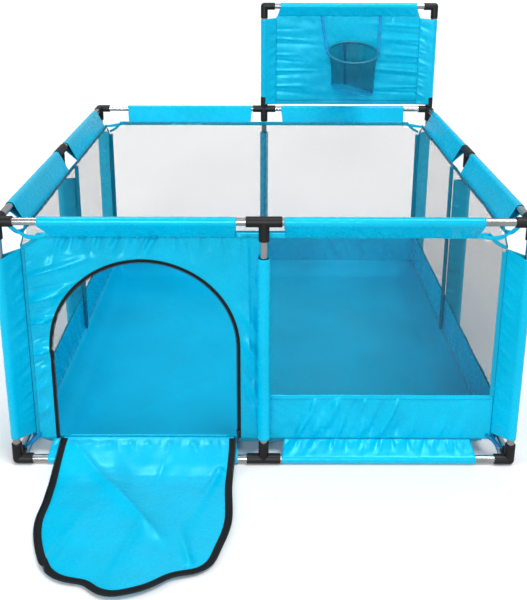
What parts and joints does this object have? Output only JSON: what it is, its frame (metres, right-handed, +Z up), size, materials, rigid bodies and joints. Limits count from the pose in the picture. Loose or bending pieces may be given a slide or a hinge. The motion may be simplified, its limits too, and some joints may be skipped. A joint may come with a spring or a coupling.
{
  "type": "playpen",
  "caption": "Square fabric playpen on a push-fit tube frame, with mesh walls, a zipped arched door, a padded-cloth floor and a ball hoop board standing on the back rail.",
  "frame": {"origin": "centre of the square frame's footprint, on the ground, at the underside of the floor mat", "axes": "+X to the right seen from the door side, +Y from the door side to the hoop board side, +Z up"},
  "size_m": [1.28, 1.6994, 1.053],
  "materials": {
    "steel_tube": "bright drawn steel",
    "connector_plastic": "black moulded, low sheen",
    "blue_cloth": "coated polyester, satin",
    "mesh_and_cloth": "fine dark net between coated polyester bands",
    "mat_cloth": "coated polyester, satin",
    "zip_tape": "black woven tape and coil teeth",
    "zip_metal": "black lacquered die-cast zinc",
    "ring_plastic": "light blue, gloss",
    "net": "dark teal open net",
    "strap_webbing": "narrow woven tape"
  },
  "bodies": {
    "pen": {"top_corner_front_left": "connector_plastic", "top_corner_front_right": "connector_plastic", "top_corner_back_right": "connector_plastic", "top_corner_back_left": "connector_plastic", "bottom_corner_front_left": "connector_plastic", "bottom_corner_front_right": "connector_plastic", "bottom_corner_back_right": "connector_plastic", "bottom_corner_back_left": "connector_plastic", "top_tee_front": "connector_plastic", "top_tee_right": "connector_plastic", "top_tee_back": "connector_plastic", "top_tee_left": "connector_plastic", "bottom_tee_front": "connector_plastic", "bottom_tee_right": "connector_plastic", "bottom_tee_back": "connector_plastic", "bottom_tee_left": "connector_plastic", "board_elbow_inner": "connector_plastic", "board_elbow_outer": "connector_plastic", "top_rail_front_a": "steel_tube", "top_rail_front_b": "steel_tube", "top_rail_right_a": "steel_tube", "top_rail_right_b": "steel_tube", "top_rail_back_a": "steel_tube", "top_rail_back_b": "steel_tube", "top_rail_left_a": "steel_tube", "top_rail_left_b": "steel_tube", "bottom_rail_front_a": "steel_tube", "bottom_rail_front_b": "steel_tube", "bottom_rail_right_a": "steel_tube", "bottom_rail_right_b": "steel_tube", "bottom_rail_back_a": "steel_tube", "bottom_rail_back_b": "steel_tube", "bottom_rail_left_a": "steel_tube", "bottom_rail_left_b": "steel_tube", "corner_post_front_left": "steel_tube", "corner_post_front_right": "steel_tube", "corner_post_back_right": "steel_tube", "corner_post_back_left": "steel_tube", "middle_post_front": "steel_tube", "middle_post_right": "steel_tube", "middle_post_back": "steel_tube", "middle_post_left": "steel_tube", "board_post_inner": "steel_tube", "board_post_outer": "steel_tube", "board_top_tube": "steel_tube", "front_door_panel": "blue_cloth", "front_mesh_panel": "mesh_and_cloth", "right_wall": "mesh_and_cloth", "back_wall": "mesh_and_cloth", "left_wall": "mesh_and_cloth", "floor_mat": "mat_cloth", "door_zip": "zip_tape", "hoop_board": "blue_cloth", "hoop_straps": "strap_webbing"},
    "flap_strip": {"door_flap_strip": "blue_cloth"},
    "flap": {"door_flap": "blue_cloth"},
    "slider": {"zip_slider": "zip_metal"},
    "pull": {"zip_pull": "zip_metal"},
    "hoop": {"hoop_ring": "ring_plastic", "hoop_basket": "net"}
  },
  "joints": [
    {"name": "door_sill_fold", "type": "hinge", "parent": "pen", "child": "flap_strip", "pos_m": [-0.297, -0.587, 0.049], "axis": [-1, 0, 0], "range_deg": [0, 114.12]},
    {"name": "door_ground_fold", "type": "hinge", "parent": "flap_strip", "child": "flap", "pos_m": [-0.297, -0.69196, 0.001], "axis": [-1, 0, 0], "range_deg": [-24.13, 0]},
    {"name": "zip_slide", "type": "slide", "parent": "pen", "child": "slider", "axis": [0, 0, 1], "range_m": [0, 0.2]},
    {"name": "zip_pull_swing", "type": "hinge", "parent": "slider", "child": "pull", "pos_m": [-0.065, -0.5963, 0.07], "axis": [-1, 0, 0], "range_deg": [0, 150]},
    {"name": "hoop_fold", "type": "hinge", "parent": "pen", "child": "hoop", "pos_m": [0.322, 0.6215, 0.91], "axis": [-1, 0, 0], "range_deg": [0, 95], "deforming": ["hoop_straps"]}
  ],
  "couplings": [
    {"joint": "door_ground_fold", "follows": "door_sill_fold", "ratio": -0.21138}
  ]
}
